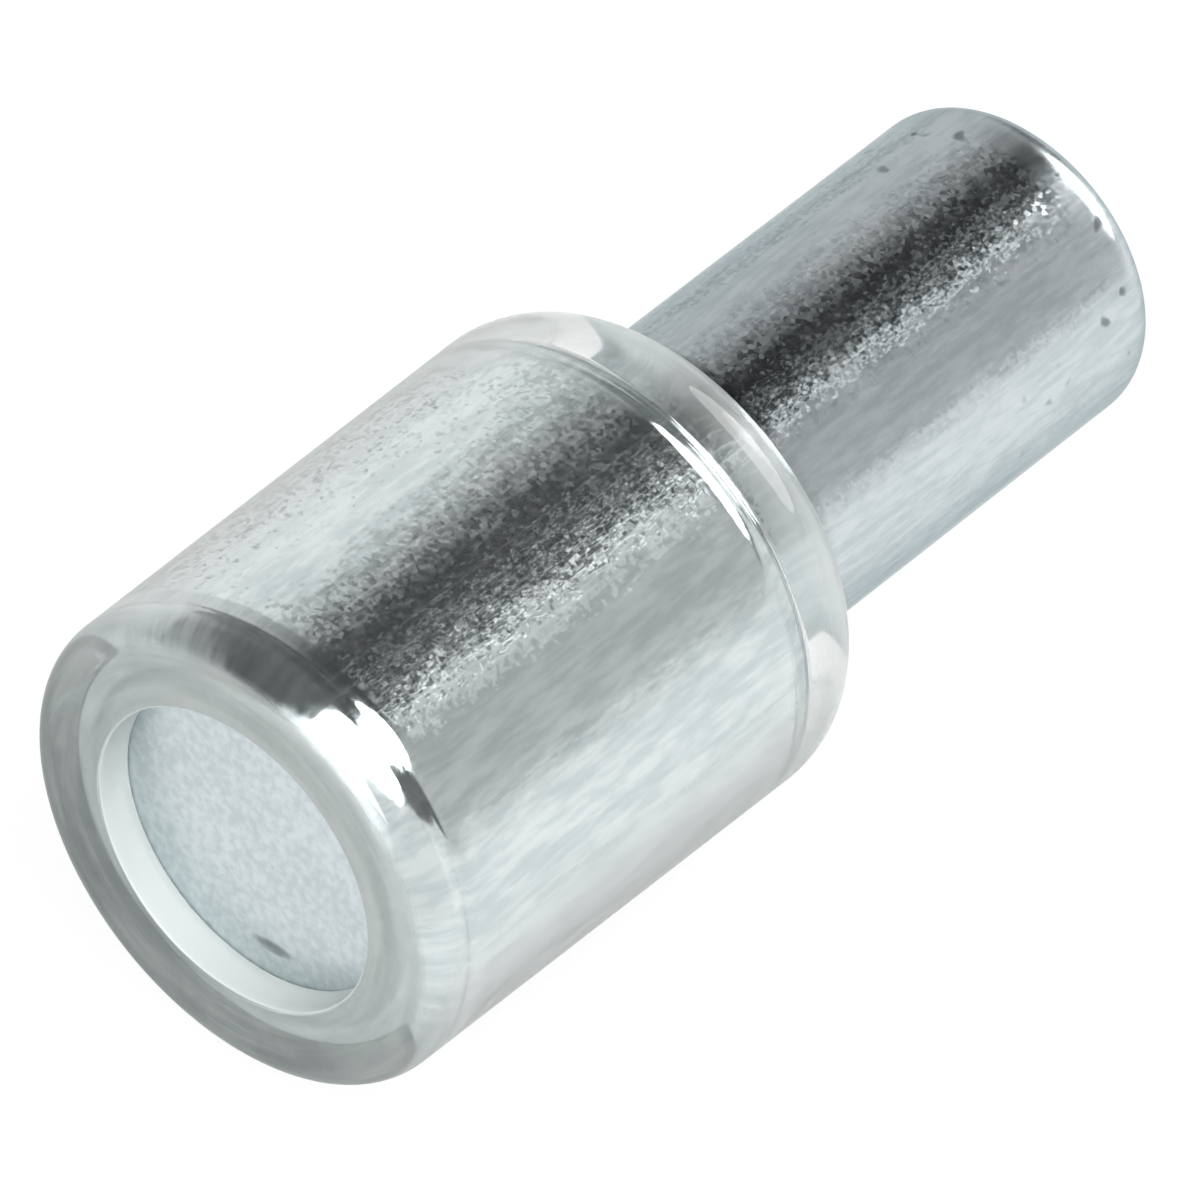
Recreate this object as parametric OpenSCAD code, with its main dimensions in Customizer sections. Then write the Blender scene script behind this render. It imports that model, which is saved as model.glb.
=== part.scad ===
// Shelf support pin: a stepped plated steel pin, with a clear moulded sleeve
// pushed over its head. The shank plugs into a hole in a cabinet side, and the
// shelf rests on the sleeve. The axis is level along X, with the shank on the
// +X side, and the origin is where the axis meets the face of the cabinet side.

/* [Steel pin] */
// Diameter of the shank that plugs into the cabinet side
shank_d = 5; // [3:0.1:7]
// Length of the shank beyond the sleeve's rear rim
shank_l = 8; // [5:0.1:14]
// Rounding of the edge at the shank's tip
tip_round = 0.6; // [0.1:0.05:1.2]
// Diameter of the head inside the sleeve
head_d = 6.5; // [5:0.1:10]
// Length of the head inside the sleeve
head_l = 7.6; // [4:0.05:14]
// Rounding of the head's front and rear edges
head_round = 0.55; // [0.1:0.05:0.7]

/* [Clear sleeve] */
// Wall of the sleeve beside the head, at the front
wall_t = 0.5; // [0.3:0.05:1.5]
// How much further out the wall stands at the rear, for the mould's draft
draft = 0.07; // [0:0.01:0.3]
// Thickness of the lip in front of the head
lip_t = 0.6; // [0.4:0.05:2]
// Diameter of the round window in the front lip
window_d = 4.85; // [2:0.05:4.9]
// Thickness of the rim turned in behind the head
rim_t = 0.8; // [0.2:0.05:1.2]
// Gap between the rear rim and the shank
rim_gap = 0.55; // [0.3:0.05:0.7]
// Rounding of the sleeve's front outer edge
front_round = 0.45; // [0.1:0.05:0.9]
// Radius of the soft curve round the sleeve's rear outer edge
rear_round = 1.2; // [0.9:0.05:2]
// Length of that curve along the sleeve
rear_run = 0.9; // [0.3:0.05:0.9]
// Clearance between the head and the sleeve all round
fit_gap = 0.02; // [0.01:0.01:0.1]

/* [Hidden] */
$fn = 180;
// How far a cut runs past the surface that it opens
overrun = 0.5;
// How far an edge's arc stands proud of the leaning side, to cross it cleanly
blend = 0.001;

shank_r = shank_d / 2;
head_r = head_d / 2;
window_r = window_d / 2;

// Places along the axis, from the cabinet side towards the front
head_rear = -rim_t;
head_front = head_rear - head_l;
cavity_rear = head_rear + fit_gap;
cavity_front = head_front - fit_gap;
sleeve_front = cavity_front - lip_t;

// Radii of the sleeve, outwards from the head that it fits
cavity_r = head_r + fit_gap;
cavity_round = head_round + fit_gap;
sleeve_r_front = cavity_r + wall_t;
sleeve_r_rear = sleeve_r_front + draft;
rim_r = shank_r + rim_gap;

// The sleeve's side leans out by the draft angle
sleeve_l = -sleeve_front;
lean = atan(draft / sleeve_l);
function side_r(z) = sleeve_r_rear + z * tan(lean);

// Centre of the front edge's arc, which meets the front face and the side
front_arc_z = sleeve_front + front_round;
front_arc_r = side_r(front_arc_z) - front_round / cos(lean) + blend;

// Centre of the rear edge's arc, which meets the side and runs out on the rear face
rear_arc_z = -rear_run + rear_round * sin(lean);
rear_arc_r = side_r(-rear_run) - rear_round * cos(lean) + blend;

// A point at a distance and an angle from a centre
function polar(centre, angle, distance) = centre + distance * [cos(angle), sin(angle)];

// What a rounded edge takes off a profile: the sector outside its arc
module edge_cut(centre, round, from_angle, to_angle) {
    reach = round / cos((to_angle - from_angle) / 2) + overrun;
    middle = (from_angle + to_angle) / 2;
    difference() {
        polygon([
            centre,
            polar(centre, from_angle, reach),
            polar(centre, middle, 2 * reach),
            polar(centre, to_angle, reach)
        ]);
        translate(centre) circle(round);
    }
}

// A plain bar in profile, from the axis outwards
module bar(radius, z_from, z_to) {
    translate([0, z_from]) square([radius, z_to - z_from]);
}

// The head's profile, which the sleeve's cavity follows with its clearance
module head_profile(radius, z_from, z_to, round) {
    difference() {
        bar(radius, z_from, z_to);
        edge_cut([radius - round, z_from + round], round, -90, 0);
        edge_cut([radius - round, z_to - round], round, 0, 90);
    }
}

module pin_profile() {
    head_profile(head_r, head_front, head_rear, head_round);
    difference() {
        bar(shank_r, head_rear - head_round, shank_l);
        edge_cut([shank_r - tip_round, shank_l - tip_round], tip_round, 0, 90);
    }
}

module sleeve_profile() {
    difference() {
        polygon([
            [0, sleeve_front],
            [sleeve_r_front, sleeve_front],
            [sleeve_r_rear, 0],
            [0, 0]
        ]);
        edge_cut([front_arc_r, front_arc_z], front_round, -90, -lean);
        edge_cut([rear_arc_r, rear_arc_z], rear_round, -lean, 90);
        head_profile(cavity_r, cavity_front, cavity_rear, cavity_round);
        bar(window_r, sleeve_front - overrun, cavity_front + cavity_round);
        bar(rim_r, cavity_rear - cavity_round, overrun);
    }
}

// Turns a profile about the axis and lays the axis along X
module turned() {
    rotate([0, 90, 0]) rotate_extrude() children();
}

// Plated steel: head and shank turned as one piece
module steel_pin() {
    color([0.72, 0.75, 0.77]) turned() pin_profile();
}

// Clear plastic: lip with a window, drafted wall and soft rear rim
module clear_sleeve() {
    color([0.85, 0.9, 0.89, 0.35]) turned() sleeve_profile();
}

steel_pin();
clear_sleeve();
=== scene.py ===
import math

import bmesh
import bpy
from mathutils import Matrix, Vector


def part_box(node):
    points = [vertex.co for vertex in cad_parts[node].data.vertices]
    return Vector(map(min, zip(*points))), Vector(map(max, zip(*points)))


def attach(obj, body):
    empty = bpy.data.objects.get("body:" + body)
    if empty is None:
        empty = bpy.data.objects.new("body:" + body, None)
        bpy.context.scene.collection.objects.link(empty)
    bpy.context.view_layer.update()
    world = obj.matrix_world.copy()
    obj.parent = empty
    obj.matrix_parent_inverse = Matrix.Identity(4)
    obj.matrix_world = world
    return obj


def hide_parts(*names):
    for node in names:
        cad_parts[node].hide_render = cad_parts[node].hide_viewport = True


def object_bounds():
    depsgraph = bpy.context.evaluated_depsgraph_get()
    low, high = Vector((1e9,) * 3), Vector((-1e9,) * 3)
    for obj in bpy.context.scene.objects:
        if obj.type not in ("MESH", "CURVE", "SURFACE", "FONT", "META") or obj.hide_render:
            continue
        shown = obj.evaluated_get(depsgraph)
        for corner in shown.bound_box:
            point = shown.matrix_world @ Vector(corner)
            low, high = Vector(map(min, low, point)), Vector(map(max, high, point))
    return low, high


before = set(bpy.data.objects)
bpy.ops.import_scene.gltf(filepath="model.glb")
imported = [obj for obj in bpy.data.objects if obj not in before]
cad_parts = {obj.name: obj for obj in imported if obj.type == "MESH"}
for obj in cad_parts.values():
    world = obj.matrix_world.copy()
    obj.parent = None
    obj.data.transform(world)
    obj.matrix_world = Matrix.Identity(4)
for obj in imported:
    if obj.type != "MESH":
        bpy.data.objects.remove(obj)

cad_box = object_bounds()

# Units and sizes
# The frame is in metres; small sizes are written in millimetres
MM = 0.001
pin_low, pin_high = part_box("steel_pin")
sleeve_low, sleeve_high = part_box("clear_sleeve")

# Steel pin: the head is inside the sleeve and the shank stands out on the +X side
head_front = pin_low.x
tip = pin_high.x
head_radius = pin_high.z
shank_radius = 2.5 * MM
head_rear = -0.8 * MM
head_round = 0.55 * MM
tip_round = 0.6 * MM
shank_root_round = 0.12 * MM

# Clear sleeve: lip and window at the front, drafted wall, soft rim at the rear
sleeve_front = sleeve_low.x
sleeve_rear = sleeve_high.x
fit_gap = 0.02 * MM
wall = 0.5 * MM
draft = 0.07 * MM
window_radius = 2.425 * MM
rim_radius = 3.05 * MM
front_round = 0.45 * MM
rear_round = 1.2 * MM
rear_run = 0.9 * MM
crisp_round = 0.05 * MM
sleeve_front_radius = head_radius + fit_gap + wall
lean = math.atan(draft / (sleeve_rear - sleeve_front))

# The cavity grips the head a little, so that no film of air shows between them
grip = 0.004 * MM
cavity_radius = head_radius - grip
cavity_round = head_round
cavity_front = head_front + grip
cavity_rear = head_rear - grip

# Mesh fineness
TURN_STEPS = 288
ARC_STEPS = 12
CRISP_STEPS = 4
RUN_STEP = 0.09 * MM


def side_radius(x):
    """Radius of the sleeve's leaning side at a place along the axis."""
    return sleeve_front_radius + (x - sleeve_front) * math.tan(lean)


# Outlines: lists of (place along the axis, radius)
def arc(x, radius, bend, start, end, steps=ARC_STEPS):
    """Points on an arc about (x, radius); angles turn from +X towards larger radii, in degrees."""
    points = []
    for step in range(steps + 1):
        angle = math.radians(start + (end - start) * step / steps)
        points.append((x + bend * math.cos(angle), radius + bend * math.sin(angle)))
    return points


def divided(corners, step=RUN_STEP):
    """The same outline, with its long straight stretches cut into short ones."""
    points = [corners[0]]
    for (x0, r0), (x1, r1) in zip(corners, corners[1:]):
        count = max(1, math.ceil(math.hypot(x1 - x0, r1 - r0) / step))
        for part in range(1, count + 1):
            share = part / count
            points.append((x0 + (x1 - x0) * share, r0 + (r1 - r0) * share))
    return points


def pin_outline():
    """The steel pin, from the middle of its front face to the middle of its tip."""
    edge = head_radius - head_round
    root = shank_radius + shank_root_round
    outline = [(head_front, 0.0)]
    outline += arc(head_front + head_round, edge, head_round, 180, 90)
    outline += arc(head_rear - head_round, edge, head_round, 90, 0)
    outline += arc(head_rear + shank_root_round, root, shank_root_round, 180, 270, CRISP_STEPS)
    outline += arc(tip - tip_round, shank_radius - tip_round, tip_round, 90, 0)
    outline += [(tip, 0.0)]
    return divided(outline)


def sleeve_outline():
    """The sleeve's section, once round: window, front, side, rear, rim and cavity."""
    front_x = sleeve_front + front_round
    front_r = side_radius(front_x) - front_round / math.cos(lean)
    rear_x = sleeve_rear - rear_run
    rear_r = side_radius(rear_x) - rear_round
    run_out = math.degrees(math.acos(rear_run / rear_round))
    edge = cavity_radius - cavity_round
    rim_angle = math.degrees(math.asin((rim_radius - edge) / cavity_round))
    small = crisp_round
    outline = arc(sleeve_front + small, window_radius + small, small, 270, 180, CRISP_STEPS)
    outline += arc(front_x, front_r, front_round, 180, 90)
    outline += arc(rear_x, rear_r, rear_round, 90, run_out)
    outline += arc(sleeve_rear - small, rim_radius + small, small, 0, -90, CRISP_STEPS)
    outline += arc(cavity_rear - cavity_round, edge, cavity_round, rim_angle, 90)
    outline += arc(cavity_front + cavity_round, edge, cavity_round, 90, 180)
    outline += arc(cavity_front - small, window_radius + small, small, 0, -90, CRISP_STEPS)
    return divided(outline + outline[:1])[:-1]


def lathe(name, outline, closed):
    """Turns an outline about the X axis into a smooth mesh piece."""
    shape = bmesh.new()
    rings = []
    for x, radius in outline:
        if radius == 0.0:
            rings.append([shape.verts.new((x, 0.0, 0.0))])
            continue
        ring = []
        for step in range(TURN_STEPS):
            angle = 2 * math.pi * step / TURN_STEPS
            ring.append(shape.verts.new((x, radius * math.sin(angle), radius * math.cos(angle))))
        rings.append(ring)
    following = rings[1:] + (rings[:1] if closed else [])
    for near, far in zip(rings, following):
        for step in range(TURN_STEPS):
            ahead = (step + 1) % TURN_STEPS
            corners = [near[step % len(near)], near[ahead % len(near)],
                       far[ahead % len(far)], far[step % len(far)]]
            shape.faces.new(list(dict.fromkeys(corners)))
    bmesh.ops.recalc_face_normals(shape, faces=shape.faces)
    for face in shape.faces:
        face.smooth = True
    mesh = bpy.data.meshes.new(name)
    shape.to_mesh(mesh)
    shape.free()
    piece = bpy.data.objects.new(name, mesh)
    bpy.context.scene.collection.objects.link(piece)
    return piece


# Shader trees
class Value:
    """One value in a shader tree: Python arithmetic on it adds Math nodes."""

    def __init__(self, recipe, socket):
        self.recipe = recipe
        self.socket = socket

    def math(self, operation, left, right):
        return self.recipe.node("ShaderNodeMath", {"operation": operation}, {0: left, 1: right})

    def __add__(self, other):
        return self.math("ADD", self, other)

    def __radd__(self, other):
        return self.math("ADD", other, self)

    def __sub__(self, other):
        return self.math("SUBTRACT", self, other)

    def __rsub__(self, other):
        return self.math("SUBTRACT", other, self)

    def __mul__(self, other):
        return self.math("MULTIPLY", self, other)

    def __rmul__(self, other):
        return self.math("MULTIPLY", other, self)

    def __truediv__(self, other):
        return self.math("DIVIDE", self, other)


class Recipe:
    """A shader tree being written: each of its nodes comes from the node method."""

    def __init__(self, tree):
        self.tree = tree
        tree.nodes.clear()

    def node(self, kind, settings, sockets, output=0):
        """Adds a node: its settings first, then the values or links of its sockets."""
        made = self.tree.nodes.new(kind)
        for name, setting in settings.items():
            if name == "stops":
                self.set_stops(made.color_ramp, setting)
            else:
                setattr(made, name, setting)
        for name, value in sockets.items():
            if isinstance(value, Value):
                self.tree.links.new(value.socket, made.inputs[name])
            else:
                made.inputs[name].default_value = value
        if len(made.outputs) == 0:
            return None
        return Value(self, made.outputs[output])

    def set_stops(self, ramp, stops):
        """Puts grey stops on a ramp, from pairs of place and level."""
        while len(ramp.elements) < len(stops):
            ramp.elements.new(1.0)
        for element, (place, level) in zip(ramp.elements, stops):
            element.position = place
            element.color = (level, level, level, 1.0)

    def vector(self, operation, first, second):
        """Vector Math on two vectors."""
        return self.node("ShaderNodeVectorMath", {"operation": operation}, {0: first, 1: second})

    def scatter(self, colour, size):
        """A vector that points any way, from a random colour."""
        about_zero = self.vector("SUBTRACT", colour, (0.5, 0.5, 0.5))
        return self.node("ShaderNodeVectorMath", {"operation": "SCALE"}, {0: about_zero, "Scale": size})

    def place(self, stretch=(1.0, 1.0, 1.0)):
        """The surface point in millimetres, stretched along the axes if asked."""
        point = self.node("ShaderNodeTexCoord", {}, {}, "Object")
        return self.vector("MULTIPLY", point, tuple(share / MM for share in stretch))

    def part(self, place, axis):
        """One coordinate of a point."""
        return self.node("ShaderNodeSeparateXYZ", {}, {0: place}, axis)

    def reach(self, place):
        """Distance from the pin's axis."""
        outwards = self.vector("MULTIPLY", place, (0.0, 1.0, 1.0))
        return self.node("ShaderNodeVectorMath", {"operation": "LENGTH"}, {0: outwards}, "Value")

    def noise(self, place, per_mm, detail=2.0, rough=0.5):
        """Soft random levels about one half."""
        sockets = {"Vector": place, "Scale": per_mm, "Detail": detail, "Roughness": rough}
        return self.node("ShaderNodeTexNoise", {}, sockets)

    def between(self, value, low, high):
        """The value, spread so that low becomes 0 and high becomes 1."""
        sockets = {"Value": value, "From Min": low, "From Max": high}
        return self.node("ShaderNodeMapRange", {"interpolation_type": "SMOOTHSTEP"}, sockets)

    def blend(self, share, first, second):
        """A colour between two colours."""
        settings = {"data_type": "RGBA"}
        return self.node("ShaderNodeMix", settings, {0: share, 6: first, 7: second}, 2)

    def relief(self, height_mm):
        """A normal from a height in millimetres."""
        return self.node("ShaderNodeBump", {}, {"Height": height_mm, "Distance": MM, "Strength": 1.0})

    def ray(self, kind):
        """1 for one kind of ray, and 0 for the others."""
        return self.node("ShaderNodeLightPath", {}, {}, kind)

    def surface(self, shader):
        """Puts a shader on the material's surface."""
        self.node("ShaderNodeOutputMaterial", {}, {"Surface": shader})


def new_material(name):
    material = bpy.data.materials.new(name)
    material.use_nodes = True
    return material, Recipe(material.node_tree)


# Finish colours: red, green, blue and alpha
WHITE = (1.0, 1.0, 1.0, 1.0)
BLACK = (0.0, 0.0, 0.0, 1.0)
SHANK_DARK = (0.555, 0.615, 0.635, 1.0)
SHANK_PALE = (0.68, 0.735, 0.75, 1.0)
HEAD_DARK = (0.62, 0.68, 0.69, 1.0)
HEAD_PALE = (0.81, 0.86, 0.87, 1.0)
PLATE_SHEEN = (0.55, 0.6, 0.61, 1.0)
GRIME_AND_SHADE = (0.16, 0.18, 0.185, 1.0)
PLASTIC_TINT = (0.965, 0.98, 0.976, 1.0)
WALL_MILK = (0.83, 0.88, 0.87, 1.0)
BORE_MILK = (0.74, 0.78, 0.765, 1.0)
LIP_PALE = (0.47, 0.515, 0.505, 1.0)
LIP_DARK = (0.19, 0.22, 0.215, 1.0)
TABLE_GREY = (0.14, 0.14, 0.14, 1.0)
TABLE_WHITE = (0.9, 0.9, 0.9, 1.0)
ROOM_DARK = (0.04, 0.04, 0.04, 1.0)

# Where a finish begins and where it is full, in millimetres along the pin's axis
ON_HEAD = (-0.6, -1.0)
ON_END_FACE = (-8.34, -8.38)
ON_FRONT_EDGE = (-7.7, -7.95)
ON_REAR_EDGE = (-1.5, -1.3)
PAST_RIM = (0.0, 0.25)
NEAR_RIM = (0.95, 0.7)
NEAR_TIP = (4.0, 6.5)
ON_TIP_EDGE = (6.9, 7.25)
OFF_TIP_FLAT = (7.98, 7.9)
ON_LIP = (-8.5, -8.95)
ON_SHOULDER = (-8.4, -8.6)
ON_RIM = (-1.1, -0.6)

# The same, in millimetres out from the axis
ON_WINDOW_BORE = (2.46, 2.43)
OUTSIDE_WINDOW = (2.43, 2.48)
ON_OUTER_WALL = (3.2, 3.4)
ON_TURNED_EDGE = (3.3, 3.5)

# Plate: heights in millimetres, and the lean of its grains
WAVE_HEIGHT = 0.01
END_WAVE_HEIGHT = 0.001
LINE_HEIGHT = 0.002
PIT_DEPTH = 0.003
GRAINS_PER_MM = 14.0
GRAIN_SOFTNESS = 0.15
SHANK_TILT = 0.13
HEAD_TILT = 0.08
TINT_SPREAD = (0.36, 0.64)
ON_LOWER_SIDE = (0.75, 0.5)

# Pits near the tip: cells, how far a pit's edge wanders, its soft edge and the cells that have one
PITS_PER_MM = 2.0
PIT_WANDER = 0.25
PIT_EDGE = (0.24, 0.08)
PIT_CHOICE = (0.47, 0.57)

# Dark mark on the head's end: its middle, half its size and its soft edge
MARK_ACROSS = -0.15
MARK_UP = -1.93
MARK_HALF_WIDTH = 0.45
MARK_HALF_HEIGHT = 0.13
MARK_EDGE = (1.0, 0.1)

# Plastic: heights in millimetres, and how its haze spreads
PLASTIC_WAVE_HEIGHT = 0.005
PLASTIC_LINE_HEIGHT = 0.0006
PLASTIC_IOR = 1.48
MILK_DULLNESS = 0.45
CLOUD_SPREAD = (0.35, 0.65)
SEEN_SIDELONG = (0.35, 0.75)
EDGE_SEEN_SIDELONG = (0.25, 0.5)
LOW_ON_LIP = (-3.0, 4.5)

# Table: where its mirror image turns greyer, in millimetres behind and in front of the pin
FAR_BEHIND = (4.0, 60.0)
FAR_IN_FRONT = (-3.0, -60.0)


# Finishes
def pitted(recipe, place):
    """Scattered small uneven spots: about one cell in two has one near its middle."""
    sockets = {"Vector": place, "Scale": 2.0 * PITS_PER_MM, "Detail": 0.0}
    wander = recipe.scatter(recipe.node("ShaderNodeTexNoise", {}, sockets, "Color"), PIT_WANDER)
    sockets = {"Vector": recipe.vector("ADD", place, wander), "Scale": PITS_PER_MM}
    middle = recipe.node("ShaderNodeTexVoronoi", {}, sockets, "Distance")
    pick = recipe.part(recipe.node("ShaderNodeTexVoronoi", {}, sockets, "Color"), "X")
    return recipe.between(middle, *PIT_EDGE) * recipe.between(pick, *PIT_CHOICE)


def grained(recipe, normal, place, tilt):
    """The normal, tipped another way in each small grain of the plate."""
    settings = {"feature": "SMOOTH_F1"}
    sockets = {"Vector": place, "Scale": GRAINS_PER_MM, "Smoothness": GRAIN_SOFTNESS}
    grains = recipe.node("ShaderNodeTexVoronoi", settings, sockets, "Color")
    tipped = recipe.vector("ADD", normal, recipe.scatter(grains, tilt))
    return recipe.node("ShaderNodeVectorMath", {"operation": "NORMALIZE"}, {0: tipped})


def plated_steel():
    """Bright zinc plate over a tumbled blank: fine grain, weaker low down, soft waves and draw lines."""
    material, recipe = new_material("plated_steel")
    place = recipe.place()
    along = recipe.part(place, "X")
    across = recipe.part(place, "Y")
    up = recipe.part(place, "Z")
    head = recipe.between(along, *ON_HEAD)
    end_face = recipe.between(along, *ON_END_FACE)
    tip_edge = recipe.between(along, *ON_TIP_EDGE)
    waves = recipe.noise(recipe.place((0.6, 1.0, 1.0)), 2.4)
    lines = recipe.noise(recipe.place((0.2, 1.0, 1.0)), 7.0, 2.0, 0.6)
    streaks = recipe.noise(recipe.place((0.25, 1.0, 1.0)), 3.0)
    cloud = recipe.noise(place, 0.7, 3.0)

    # Tint: draw lines and blotches, paler on the head
    shank_share = recipe.between(cloud * 0.35 + lines * 0.65, *TINT_SPREAD)
    head_share = recipe.between(streaks * 0.5 + lines * 0.5, *TINT_SPREAD)
    shank_tint = recipe.blend(shank_share, SHANK_DARK, SHANK_PALE)
    head_tint = recipe.blend(head_share, HEAD_DARK, HEAD_PALE)
    tint = recipe.blend(head - 0.9 * end_face, shank_tint, head_tint)

    # Wear and painted shade: pits near the tip, a dark mark on the head's end, and painted shade in a
    # ring next to the rim
    pits = pitted(recipe, place) * recipe.between(along, *NEAR_TIP) * recipe.between(along, *OFF_TIP_FLAT)
    # A dark, slightly sunk mark on the head's end
    aside = (across - MARK_ACROSS) / MARK_HALF_WIDTH
    above = (up - MARK_UP) / MARK_HALF_HEIGHT
    dark_mark = recipe.between(aside * aside + above * above, *MARK_EDGE) * end_face
    dark_mark = dark_mark * recipe.between(recipe.noise(recipe.place((1.0, 0.5, 1.0)), 5.0), 0.2, 0.65)
    # Painted shade: the plate darkens in a ring next to the sleeve's rim, strongest on its upper side
    root = recipe.between(along, *NEAR_RIM) * recipe.between(along, *PAST_RIM)
    root = root * (0.25 + 0.75 * recipe.between(up, 1.9, 2.2))
    # The grime colour darkens the pits and the dark mark, and paints the shade next to the rim
    tint = recipe.blend(0.75 * (pits + dark_mark + root), tint, GRIME_AND_SHADE)

    # Dullness, relief and grain: the rounded edges are polished
    dullness = 0.1 + 0.06 * recipe.between(lines * 0.5 + cloud * 0.5, 0.3, 0.7)
    dullness = dullness * (1.0 - 0.35 * head) + 0.3 * end_face + 0.12 * tip_edge
    rear_edge = recipe.between(along, *ON_REAR_EDGE) * head
    polished = recipe.between(along, *ON_FRONT_EDGE) + rear_edge + tip_edge
    wave_height = WAVE_HEIGHT - (WAVE_HEIGHT - END_WAVE_HEIGHT) * end_face
    height = (waves - 0.5) * wave_height + (lines - 0.5) * LINE_HEIGHT
    height = height * (1.0 - polished) - PIT_DEPTH * (pits + dark_mark)
    rubbed = recipe.between(up / recipe.reach(place), *ON_LOWER_SIDE)
    tilt = SHANK_TILT - (SHANK_TILT - HEAD_TILT) * head
    tilt = tilt * (1.0 - rubbed * (0.55 + 0.3 * head))
    tilt = tilt * (1.0 - 0.85 * polished) * (1.0 - 0.75 * end_face)
    recipe.surface(recipe.node("ShaderNodeBsdfPrincipled", {}, {
        "Base Color": tint,
        "Metallic": 1.0,
        "Roughness": dullness,
        "Normal": grained(recipe, recipe.relief(height), place, tilt),
        "Specular Tint": PLATE_SHEEN,
    }))
    return material


def clear_plastic():
    """Clear soft plastic with a faint grey tint: clear wall, cloudier where it is thick."""
    material, recipe = new_material("clear_plastic")
    place = recipe.place()
    along = recipe.part(place, "X")
    across = recipe.part(place, "Y")
    up = recipe.part(place, "Z")
    reach = recipe.reach(place)
    waves = recipe.noise(place, 0.6, 1.0)
    lines = recipe.noise(recipe.place((0.15, 1.0, 1.0)), 2.2)
    cloud = recipe.between(recipe.noise(place, 0.8, 3.0, 0.6), *CLOUD_SPREAD)
    front = recipe.between(along, *ON_LIP) * recipe.between(reach, *OUTSIDE_WINDOW)
    turned_edge = recipe.between(reach, *ON_TURNED_EDGE)
    bore = recipe.between(reach, *ON_WINDOW_BORE)
    rim = recipe.between(along, *ON_RIM)
    shoulder = recipe.between(along, *ON_SHOULDER) * recipe.between(reach, *ON_OUTER_WALL)

    # Haze: the lip and the window's bore are cloudy, and the wall is where it is seen sidelong
    sidelong = recipe.node("ShaderNodeLayerWeight", {}, {"Blend": 0.5}, "Facing")
    inside = recipe.node("ShaderNodeNewGeometry", {}, {}, "Backfacing")
    outside = 1.0 - 0.8 * inside
    veil = recipe.between(sidelong, *SEEN_SIDELONG) * outside
    edge_veil = recipe.between(sidelong, *EDGE_SEEN_SIDELONG)
    lip_haze = (0.65 + 0.2 * cloud) * (1.0 - 0.95 * turned_edge) + 0.8 * turned_edge * edge_veil
    lip_haze = lip_haze * outside
    wall_haze = 0.03 + shoulder * 0.03 + bore * 0.85 + rim * 0.22 + veil * (0.7 - 0.55 * rim)
    haze = front * lip_haze + (1.0 - front) * wall_haze

    # Colour of the haze: the lip has flow marks in rings, and painted shade makes it darker low down
    lip_low_shade = recipe.between(across - up, *LOW_ON_LIP)
    swept = recipe.node("ShaderNodeCombineXYZ", {}, {"X": reach * 3.0, "Y": across * 0.3, "Z": up * 0.3})
    flow = recipe.between(recipe.noise(swept, 1.0, 3.0, 0.6), *CLOUD_SPREAD)
    lip = recipe.blend(lip_low_shade * 0.6 + flow * 0.4, LIP_PALE, LIP_DARK)
    milk = recipe.blend(front, recipe.blend(bore, WALL_MILK, BORE_MILK), lip)

    # Relief: soft waves on the wall, none on the shoulder and the lip
    height = waves * PLASTIC_WAVE_HEIGHT + lines * PLASTIC_LINE_HEIGHT
    wave_normal = recipe.relief(height * (1.0 - shoulder) * (1.0 - front))
    clear = recipe.node("ShaderNodeBsdfPrincipled", {}, {
        "Base Color": PLASTIC_TINT,
        "Roughness": 0.03 + 0.05 * recipe.between(lines, 0.45, 0.75),
        "IOR": PLASTIC_IOR,
        "Transmission Weight": 1.0,
        "Normal": wave_normal,
    })
    milky = recipe.node("ShaderNodeBsdfPrincipled", {}, {
        "Base Color": milk,
        "Roughness": MILK_DULLNESS,
        "Normal": wave_normal,
    })
    recipe.surface(recipe.node("ShaderNodeMixShader", {}, {0: haze, 1: clear, 2: milky}))
    return material


def white_floor():
    """A white table: it shows white, greyer far off in metal and plastic, and keeps the pin's shadow."""
    material, recipe = new_material("white_floor")
    across = recipe.part(recipe.place(), "Y")
    behind = recipe.between(across, *FAR_BEHIND)
    in_front = recipe.between(across, *FAR_IN_FRONT)
    indirect = recipe.ray("Is Glossy Ray") + recipe.ray("Is Transmission Ray")
    indirect = recipe.node("ShaderNodeClamp", {}, {"Value": indirect})
    shown = recipe.ray("Is Camera Ray") + indirect * (1.0 - 0.4 * behind) * (1.0 - 0.25 * in_front)
    plain = recipe.node("ShaderNodeBsdfDiffuse", {}, {"Color": TABLE_GREY})
    glow = recipe.node("ShaderNodeEmission", {}, {"Color": recipe.blend(shown, BLACK, TABLE_WHITE)})
    recipe.surface(recipe.node("ShaderNodeAddShader", {}, {0: plain, 1: glow}))
    return material


# Pieces
pin = lathe("plated_pin", pin_outline(), closed=False)
pin.data.materials.append(plated_steel())
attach(pin, "root")
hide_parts("steel_pin")

sleeve = lathe("moulded_sleeve", sleeve_outline(), closed=True)
sleeve.data.materials.append(clear_plastic())
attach(sleeve, "root")
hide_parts("clear_sleeve")


# Table under the sleeve, its side in metres
TABLE_SIZE = 6.0
table_mesh = bpy.data.meshes.new("table")
table_shape = bmesh.new()
bmesh.ops.create_grid(table_shape, x_segments=1, y_segments=1, size=TABLE_SIZE / 2)
table_shape.to_mesh(table_mesh)
table_shape.free()
table = bpy.data.objects.new("table", table_mesh)
table.location.z = cad_box[0].z
table_mesh.materials.append(white_floor())
bpy.context.scene.collection.objects.link(table)


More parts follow.
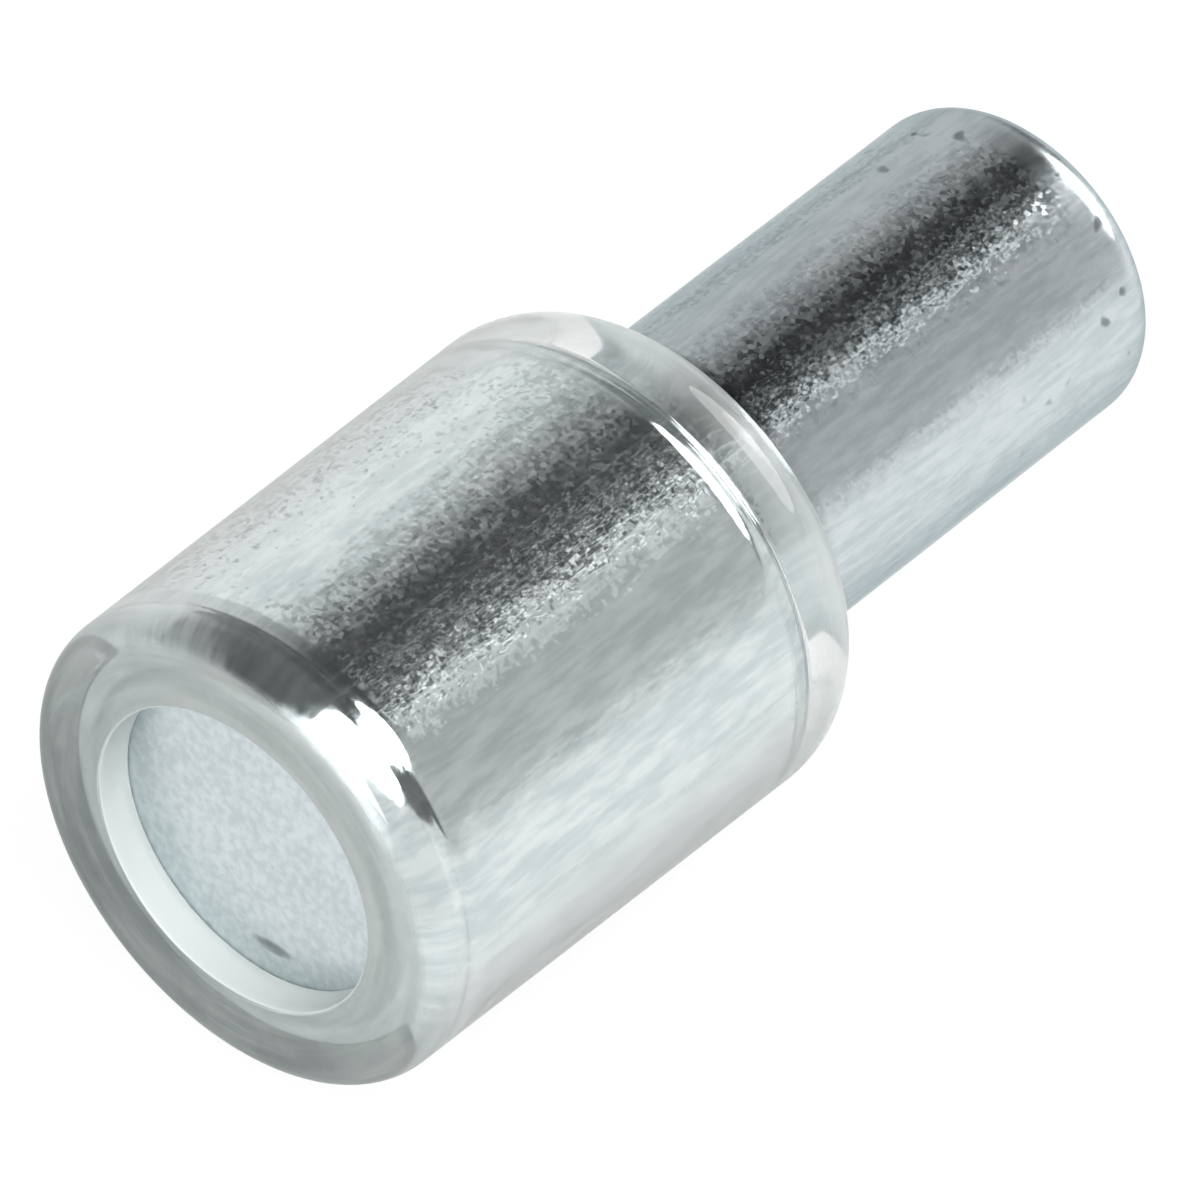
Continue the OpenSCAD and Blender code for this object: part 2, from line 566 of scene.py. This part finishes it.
# Room: levels round the pin's axis, in degrees from straight up towards +Y
ROOM_LEVELS = [
    (-180, 0.55), (-90, 0.67), (-84, 0.6), (-76, 0.56), (-64, 0.53), (-46, 0.52),
    (-38, 0.44), (-30, 0.25), (-24, 0.1), (-16, 0.04), (4, 0.03), (14, 0.08),
    (25, 0.25), (40, 0.46), (54, 0.62), (90, 0.75), (180, 0.75),
]

# Its dark ends, by how far a direction leans along the axis
FRONT_END = (-0.45, -0.65)
REAR_END = (0.78, 0.9)


def room():
    """A plain room: dark overhead and at its ends, paler in front and palest behind the pin."""
    world = bpy.data.worlds.new("room")
    world.use_nodes = True
    recipe = Recipe(world.node_tree)
    towards = recipe.node("ShaderNodeTexCoord", {}, {}, "Generated")
    ahead = recipe.part(towards, "X")
    level = recipe.part(towards, "Y")
    height = recipe.part(towards, "Z")
    angle = recipe.node("ShaderNodeMath", {"operation": "ARCTAN2"}, {0: level, 1: height})
    share = angle / (2 * math.pi) + 0.5
    stops = [((degrees + 180) / 360, light) for degrees, light in ROOM_LEVELS]
    walls = recipe.node("ShaderNodeValToRGB", {"stops": stops}, {"Fac": share})
    ends = 0.9 * recipe.between(ahead, *FRONT_END) + 0.8 * recipe.between(ahead, *REAR_END)
    walls = recipe.blend(ends, walls, ROOM_DARK)
    colour = recipe.blend(recipe.ray("Is Camera Ray"), walls, WHITE)
    light = recipe.node("ShaderNodeBackground", {}, {"Color": colour, "Strength": 1.0})
    recipe.node("ShaderNodeOutputWorld", {}, {"Surface": light})
    return world


bpy.context.scene.world = room()


# Lamps: name, direction from the pin, then distance, length and width in metres, and brightness
LAMPS = [
    ("front_lamp", (-0.5, -0.48, 0.72), 0.3, 0.45, 0.18, 3.4),
    ("nose_lamp", (-0.985, -0.1, 0.14), 0.3, 0.2, 0.16, 8.0),
    ("back_lamp", (0.906, -0.199, 0.374), 0.3, 0.16, 0.24, 4.0),
    ("tip_card", (0.879, -0.167, 0.444), 0.0198, 0.007, 0.005, 2.0),
    ("tip_lamp", (0.985, -0.07, 0.16), 0.3, 0.14, 0.1, 1.2),
    ("side_card", (0.32, 0.824, 0.468), 0.021, 0.009, 0.034, 0.1),
    ("middle_side_card", (0.32, 0.88, 0.355), 0.021, 0.009, 0.034, 0.1),
    ("low_side_card", (0.32, 0.92, 0.226), 0.021, 0.009, 0.034, 0.1),
    ("top_card", (0.32, -0.57, 0.757), 0.021, 0.009, 0.004, 0.28),
]

# Thin lamps in a row, which the grain of the plate catches as sparkle
# Each has an angle, in degrees from straight up towards +Y, and a brightness
SPARKS = [(-30.5, 2.6), (-25.0, 2.6), (-18.0, 1.4), (-10.0, 0.9), (-2.0, 0.6)]
SPARK_AHEAD = 0.57
SPARK_OUT = 0.82
SPARK_DISTANCE = 0.3
SPARK_LENGTH = 0.2
SPARK_WIDTH = 0.004


def soft_box(name, direction, distance, length, width, brightness):
    """A flat lamp that faces the pin, its length in line with the pin, with an even brightness."""
    light = bpy.data.lights.new(name, "AREA")
    light.shape = "ELLIPSE"
    light.size = length
    light.size_y = width
    light.energy = brightness * math.pi * (math.pi / 4 * length * width)
    lamp = bpy.data.objects.new(name, light)
    back = Vector(direction).normalized()
    across = back.cross(Vector((1.0, 0.0, 0.0))).normalized()
    along = across.cross(back)
    lamp.location = back * distance
    lamp.rotation_mode = "QUATERNION"
    lamp.rotation_quaternion = Matrix((along, across, back)).transposed().to_quaternion()
    lamp.visible_camera = False
    bpy.context.scene.collection.objects.link(lamp)


for lamp_values in LAMPS:
    soft_box(*lamp_values)

for number, (degrees, brightness) in enumerate(SPARKS):
    turn = math.radians(degrees)
    aim = (SPARK_AHEAD, SPARK_OUT * math.sin(turn), SPARK_OUT * math.cos(turn))
    name = "spark_lamp_%d" % number
    soft_box(name, aim, SPARK_DISTANCE, SPARK_LENGTH, SPARK_WIDTH, brightness)


# Camera: angles in degrees, lens and sensor in millimetres, the rest in metres
CAMERA_AZIMUTH = -49.48
CAMERA_ELEVATION = 41.49
CAMERA_LENS = 600.0
SENSOR = 36.0
FRAMED_WIDTH = 16.7 * MM
AIM_RIGHT = -0.832 * MM
AIM_UP = -0.975 * MM
NEAR_LIMIT = 10 * MM
FAR_LIMIT = 20.0


def look():
    """Sets the camera at the photograph's angle, with a long lens."""
    turn = math.radians(CAMERA_AZIMUTH)
    rise = math.radians(CAMERA_ELEVATION)
    back = Vector((math.sin(turn) * math.cos(rise), -math.cos(turn) * math.cos(rise), math.sin(rise)))
    right = Vector((math.cos(turn), math.sin(turn), 0.0))
    up = back.cross(right)
    distance = FRAMED_WIDTH * CAMERA_LENS / SENSOR
    data = bpy.data.cameras.new("camera")
    data.lens = CAMERA_LENS
    data.sensor_width = SENSOR
    data.clip_start = NEAR_LIMIT
    data.clip_end = FAR_LIMIT
    camera = bpy.data.objects.new("camera", data)
    facing = Matrix((right, up, back)).transposed()
    camera.location = right * AIM_RIGHT + up * AIM_UP + back * distance
    camera.rotation_mode = "QUATERNION"
    camera.rotation_quaternion = facing.to_quaternion()
    bpy.context.scene.collection.objects.link(camera)
    bpy.context.scene.camera = camera


look()
bpy.context.scene.view_settings.view_transform = "Standard"
